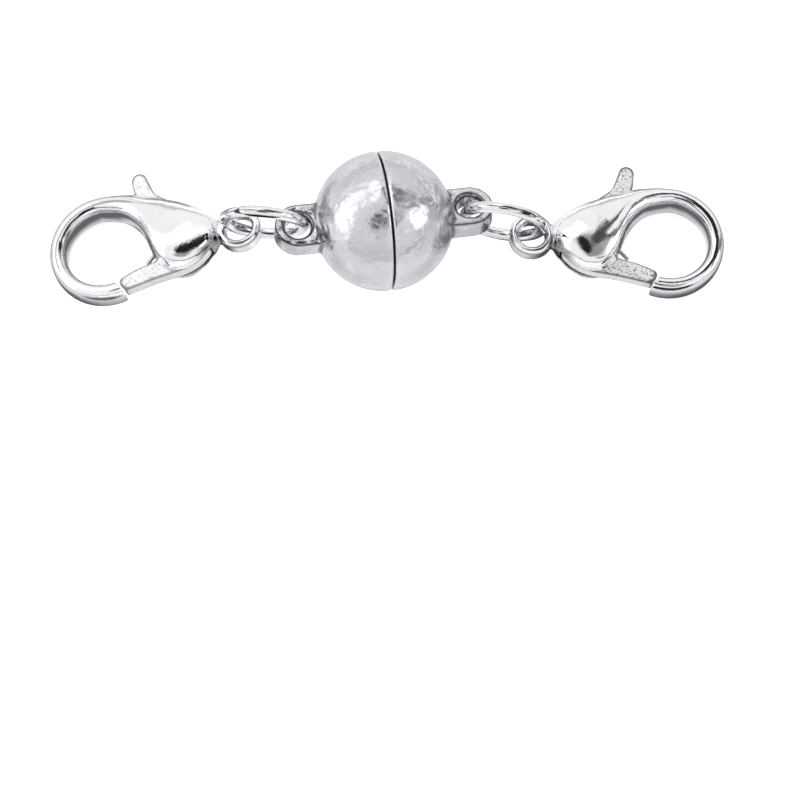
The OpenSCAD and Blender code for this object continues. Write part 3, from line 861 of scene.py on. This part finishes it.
class CLASP_OT_rings(bpy.types.Operator):
    """Make the two jump rings of round wire, each with its cut"""

    bl_idname = "clasp.rings"
    bl_label = "Jump rings"

    def execute(self, context):
        for side in SIDES:
            o = put(f"{side}_ring_wire", ring_mesh(side, context.scene.clasp_sizes), ring_place(side),
                    f"{side}_half", finish_of("ring"), f"{side}_jump_ring")
            o.data.set_sharp_from_angle(angle=math.radians(50))
        return {"FINISHED"}


class CLASP_OT_claws(bpy.types.Operator):
    """Make the two claws' castings"""

    bl_idname = "clasp.claws"
    bl_label = "Claws"

    def execute(self, context):
        mesh = claw_body_mesh()
        for side in SIDES:
            put(f"{side}_claw_casting", mesh.copy(), claw_place(side),
                f"{side}_half", finish_of("claw"), f"{side}_claw_body")
        bpy.data.meshes.remove(mesh)
        return {"FINISHED"}


class CLASP_OT_levers(bpy.types.Operator):
    """Make the two levers, each a gate with its thumb tab"""

    bl_idname = "clasp.levers"
    bl_label = "Levers"

    def execute(self, context):
        mesh = lever_mesh()
        for side in SIDES:
            put(f"{side}_lever_casting", mesh.copy(), lever_place(side),
                f"{side}_lever", finish_of(f"{side}_lever"), f"{side}_claw_lever")
        bpy.data.meshes.remove(mesh)
        return {"FINISHED"}


class CLASP_OT_pins(bpy.types.Operator):
    """Make the pins that the levers turn on"""

    bl_idname = "clasp.pins"
    bl_label = "Pins"

    def execute(self, context):
        for side in SIDES:
            o = put(f"{side}_pin_steel", pin_mesh(), claw_place(side),
                    f"{side}_half", finish_of("pin"), f"{side}_claw_pin")
            o.data.set_sharp_from_angle(angle=math.radians(40))
        return {"FINISHED"}


class CLASP_OT_springs(bpy.types.Operator):
    """Make the coiled springs that hold the gates shut"""

    bl_idname = "clasp.springs"
    bl_label = "Springs"

    def execute(self, context):
        for side in SIDES:
            put(f"{side}_spring_coil", spring_mesh(), lever_place(side),
                f"{side}_lever", finish_of("spring"), f"{side}_claw_spring")
        return {"FINISHED"}


# Stage

def lobe(s, at, azimuth, elevation, outer, inner, low, high):
    """A value that runs from low to high as a ray comes from outer to inner degrees off a direction.

    The direction's azimuth runs from +X towards +Y.
    """
    a, e = math.radians(azimuth), math.radians(elevation)
    towards = (math.cos(e) * math.cos(a), math.cos(e) * math.sin(a), math.sin(e))
    dot = s.add("ShaderNodeVectorMath", {"operation": "DOT_PRODUCT"}, i0=at, i1=towards).outputs["Value"]
    return s.ramp(dot, math.cos(math.radians(outer)), math.cos(math.radians(inner)), low, high)


def tent_light(stage):
    """A white light tent with softboxes and with dark gaps between them, one of them the camera's opening."""
    world = bpy.data.worlds.new("light_tent")
    bpy.context.scene.world = world
    world.use_nodes = True
    tree = world.node_tree
    s = Shading(tree)
    at = s.add("ShaderNodeTexCoord").outputs["Generated"]
    z = s.add("ShaderNodeSeparateXYZ", None, Vector=at).outputs["Z"]
    light = s.ramp(z, -0.5, 0.1, 0.9, 0.95)
    for *where, strength in SOFTBOXES:
        light = s.math("ADD", light, lobe(s, at, *where, 0.0, strength))
    for *where, left in GAPS:
        light = s.product(light, lobe(s, at, *where, 1.0, left))
    horizon = s.ramp(s.math("ABSOLUTE", s.math("SUBTRACT", z, 0.04)), 0.11, 0.06, 0.0, 0.78)
    for *where, left in HORIZON_BREAKS:
        horizon = s.product(horizon, lobe(s, at, *where, 1.0, left))
    light = s.product(light, s.math("SUBTRACT", 1.0, horizon), stage.tent)
    seen = s.add("ShaderNodeLightPath").outputs["Is Camera Ray"]
    strength = s.math("ADD", seen, s.product(s.math("SUBTRACT", 1.0, seen), light))
    back = tree.nodes["Background"]
    back.inputs["Color"].default_value = (1, 1, 1, 1)
    tree.links.new(strength, back.inputs["Strength"])


def only_in_reflections(o):
    """Hides a stage piece from all but the metal."""
    for kind in ("camera", "diffuse", "transmission", "shadow", "volume_scatter"):
        setattr(o, f"visible_{kind}", False)


def pale_floor(stage):
    """The floor that the camera sees."""
    h, z = FLOOR_HALF, FLOOR_Z
    mesh = mesh_of("floor", [(-h, -h, z), (h, -h, z), (h, h, z), (-h, h, z)], [(0, 1, 2, 3)])
    floor = in_scene("floor", mesh)
    material = bpy.data.materials.new("pale_floor")
    material.use_nodes = True
    shader = material.node_tree.nodes["Principled BSDF"]
    shader.inputs["Base Color"].default_value = rgba(stage.floor)
    shader.inputs["Roughness"].default_value = 0.9
    shader.inputs["Specular IOR Level"].default_value = 0.1
    shader.inputs["Emission Color"].default_value = (1, 1, 1, 1)
    shader.inputs["Emission Strength"].default_value = 0.6
    mesh.materials.append(material)
    floor.visible_glossy = False
    return floor


def mirrored_floor(floor):
    """The floor that the metal mirrors, in painted shadow: dark under the clasp and in the zones, darkish in the
    hooks.
    """
    mirrored = in_scene("floor_in_reflections", floor.data.copy())
    mirrored.location.z = MIRRORED_FLOOR_RISE
    material = floor.data.materials[0].copy()
    material.name = "pale_floor_in_reflections"
    mirrored.data.materials[0] = material
    shader = material.node_tree.nodes["Principled BSDF"]
    s = Shading(material.node_tree)
    open_sky = s.add("ShaderNodeAmbientOcclusion", {"samples": 8}, Distance=3 * MM).outputs["AO"]
    place = s.add("ShaderNodeTexCoord").outputs["Object"]
    axes = s.add("ShaderNodeSeparateXYZ", None, Vector=place)
    measures = {
        "from_ball": s.add("ShaderNodeVectorMath", {"operation": "LENGTH"}, i0=place).outputs["Value"],
        "aside": s.math("ABSOLUTE", axes.outputs["X"]),
        "y": axes.outputs["Y"],
    }

    def ramp(along, start, end, *values):
        return s.ramp(measures[along], start * MM, end * MM, *values)

    shadow = s.product(s.ramp(open_sky, 0.97, 0.80), ramp("from_ball", 4.8, 7.0, 0.35, 1.0))
    for zone in FLOOR_ZONES.values():
        shadow = s.math("MAXIMUM", shadow, s.product(*(ramp(*step) for step in zone)))
    for side in SIDES:
        centre = claw_place(side) @ Vector((*HOOK_CENTRE, 0))
        away = s.add("ShaderNodeVectorMath", {"operation": "DISTANCE"}, i0=place,
                     i1=(centre.x * MM, centre.y * MM, 0)).outputs["Value"]
        outside = s.ramp(away, 2.1 * MM, 2.4 * MM)
        inside = s.ramp(away, 2.1 * MM, 1.2 * MM, 0.15, 0.95)
        inside = s.product(inside, s.math("SUBTRACT", 1.0, outside))
        shadow = s.math("ADD", s.product(shadow, outside), inside)
    colour = s.mix(shadow, (0.97, 0.97, 0.98, 1), (0.08, 0.08, 0.085, 1))
    s.tree.links.new(colour, shader.inputs["Base Color"])
    s.tree.links.new(colour, shader.inputs["Emission Color"])
    # Painted light: the floor glows, more towards the front
    s.tree.links.new(ramp("y", 3, -3, 0.25, 0.55), shader.inputs["Emission Strength"])
    only_in_reflections(mirrored)


def card_material(name, brightness, mottling, softness):
    """An even brightness that fades out, in mottled patches, where the card's cover ends."""
    material = bpy.data.materials.new(name)
    material.use_nodes = True
    tree = material.node_tree
    tree.nodes.remove(tree.nodes["Principled BSDF"])
    s = Shading(tree)
    grain = s.noise(s.add("ShaderNodeTexCoord").outputs["Object"], 5500, detail=2.0, roughness=0.7)
    amount = s.math("ADD", s.attribute("cover"), s.product(s.math("SUBTRACT", grain, 0.5), mottling))
    card = s.add("ShaderNodeEmission", None, Color=(*[brightness] * 3, 1), Strength=1.0).outputs[0]
    clear = s.add("ShaderNodeBsdfTransparent").outputs[0]
    covered = s.ramp(amount, 0.35 - softness / 2, 0.35 + softness / 2)
    mixed = s.add("ShaderNodeMixShader", None, i0=covered, i1=clear, i2=card).outputs[0]
    tree.links.new(mixed, tree.nodes["Material Output"].inputs["Surface"])
    return material


def card(name, lie, path, *looks):
    """A strip along a path of (x, y, z, half width), whose cover runs from 1 at its middle to 0 at its edges."""
    path = through(path, 6, False)
    middle, half_width, n = path[:, :3], path[:, 3:], len(path)
    if lie == "upright":
        across = np.array((0, 0, 1.0))
    else:
        across = np.cross((0, 0, 1.0), np.gradient(middle, axis=0))
        across /= np.linalg.norm(across, axis=1)[:, None]
    verts = [p * MM for k in (-1, 0, 1) for p in middle + across * half_width * k]
    faces = [(k + i, k + i + 1, k + n + i + 1, k + n + i) for k in (0, n) for i in range(n - 1)]
    mesh = mesh_of(name, verts, faces)
    cover = mesh.attributes.new("cover", "FLOAT", "POINT")
    ends = np.minimum(np.minimum(np.arange(n), np.arange(n)[::-1]) / 6, 1)
    cover.data.foreach_set("value", [0.0] * n + list(map(float, ends)) + [0.0] * n)
    mesh.materials.append(card_material(name, *looks))
    only_in_reflections(in_scene(name, mesh))


def stage_cards():
    """The cards over and beside the claws and the jump rings."""
    for name, lie, height, brightness, mottling, softness, path in CARDS:
        card(name, lie, [(x, y, height, w) for x, y, w in path], brightness, mottling, softness)
    for side, (start, end) in RING_CARDS.items():
        path = []
        for a in np.radians(np.linspace(start, end, 8)):
            on_ring = ring_place(side) @ Vector((RING_CARD_R * math.cos(a), RING_CARD_R * math.sin(a), 0))
            path.append((*(on_ring + Vector((0, RING_CARD_BACK, 0))), RING_CARD_HALF_WIDTH))
        card(f"flag_over_{side}_ring", "flat", path, 0.03, 0.4, 0.5)


def photo_camera(stage):
    """The camera at the photograph's angle."""
    e = stage.elevation
    back = Vector((0, -math.cos(e), math.sin(e)))
    up = Vector((0, math.sin(e), math.cos(e)))
    aim = (BALL_AT + Vector((AIM_RIGHT, 0, 0)) - AIM_DOWN * up) * MM
    data = bpy.data.cameras.new("camera")
    data.lens, data.sensor_width = stage.lens, 36.0
    data.clip_start, data.clip_end = 0.01, 20.0
    camera = in_scene("camera", data)
    camera.matrix_world = Matrix.Translation(aim + back * stage.distance) @ Matrix(
        ((1, 0, 0, 0), (0, up.y, back.y, 0), (0, up.z, back.z, 0), (0, 0, 0, 1)))
    bpy.context.scene.camera = camera


class CLASP_OT_stage(bpy.types.Operator):
    """Make the pale floor, the light tent and the camera"""

    bl_idname = "clasp.stage"
    bl_label = "Stage"

    def execute(self, context):
        stage = context.scene.clasp_stage
        context.scene.view_settings.view_transform = "Standard"
        mirrored_floor(pale_floor(stage))
        stage_cards()
        tent_light(stage)
        photo_camera(stage)
        return {"FINISHED"}


STEPS = (CLASP_OT_stage, CLASP_OT_cups, CLASP_OT_magnets, CLASP_OT_rings, CLASP_OT_claws, CLASP_OT_levers,
         CLASP_OT_pins, CLASP_OT_springs)


class CLASP_PT_panel(bpy.types.Panel):
    """The clasp's settings and steps"""

    bl_idname = "CLASP_PT_panel"
    bl_label = "Lobster clasp"
    bl_space_type = "VIEW_3D"
    bl_region_type = "UI"
    bl_category = "Clasp"

    def draw(self, context):
        for settings in (context.scene.clasp_sizes, context.scene.clasp_finish, context.scene.clasp_stage):
            box = self.layout.box()
            for name in settings.__annotations__:
                box.prop(settings, name)
        for step in STEPS:
            self.layout.operator(step.bl_idname)


GROUPS = {"clasp_sizes": ClaspSizes, "clasp_finish": ClaspFinish, "clasp_stage": ClaspStage}


def register():
    for cls in (*GROUPS.values(), *STEPS, CLASP_PT_panel):
        bpy.utils.register_class(cls)
    for name, cls in GROUPS.items():
        setattr(bpy.types.Scene, name, PointerProperty(type=cls))


def unregister():
    for name in GROUPS:
        delattr(bpy.types.Scene, name)
    for cls in (CLASP_PT_panel, *reversed(STEPS), *reversed(GROUPS.values())):
        bpy.utils.unregister_class(cls)


def main():
    register()
    for step in STEPS:
        group, name = step.bl_idname.split(".")
        getattr(getattr(bpy.ops, group), name)()


if __name__ == "__main__":
    main()
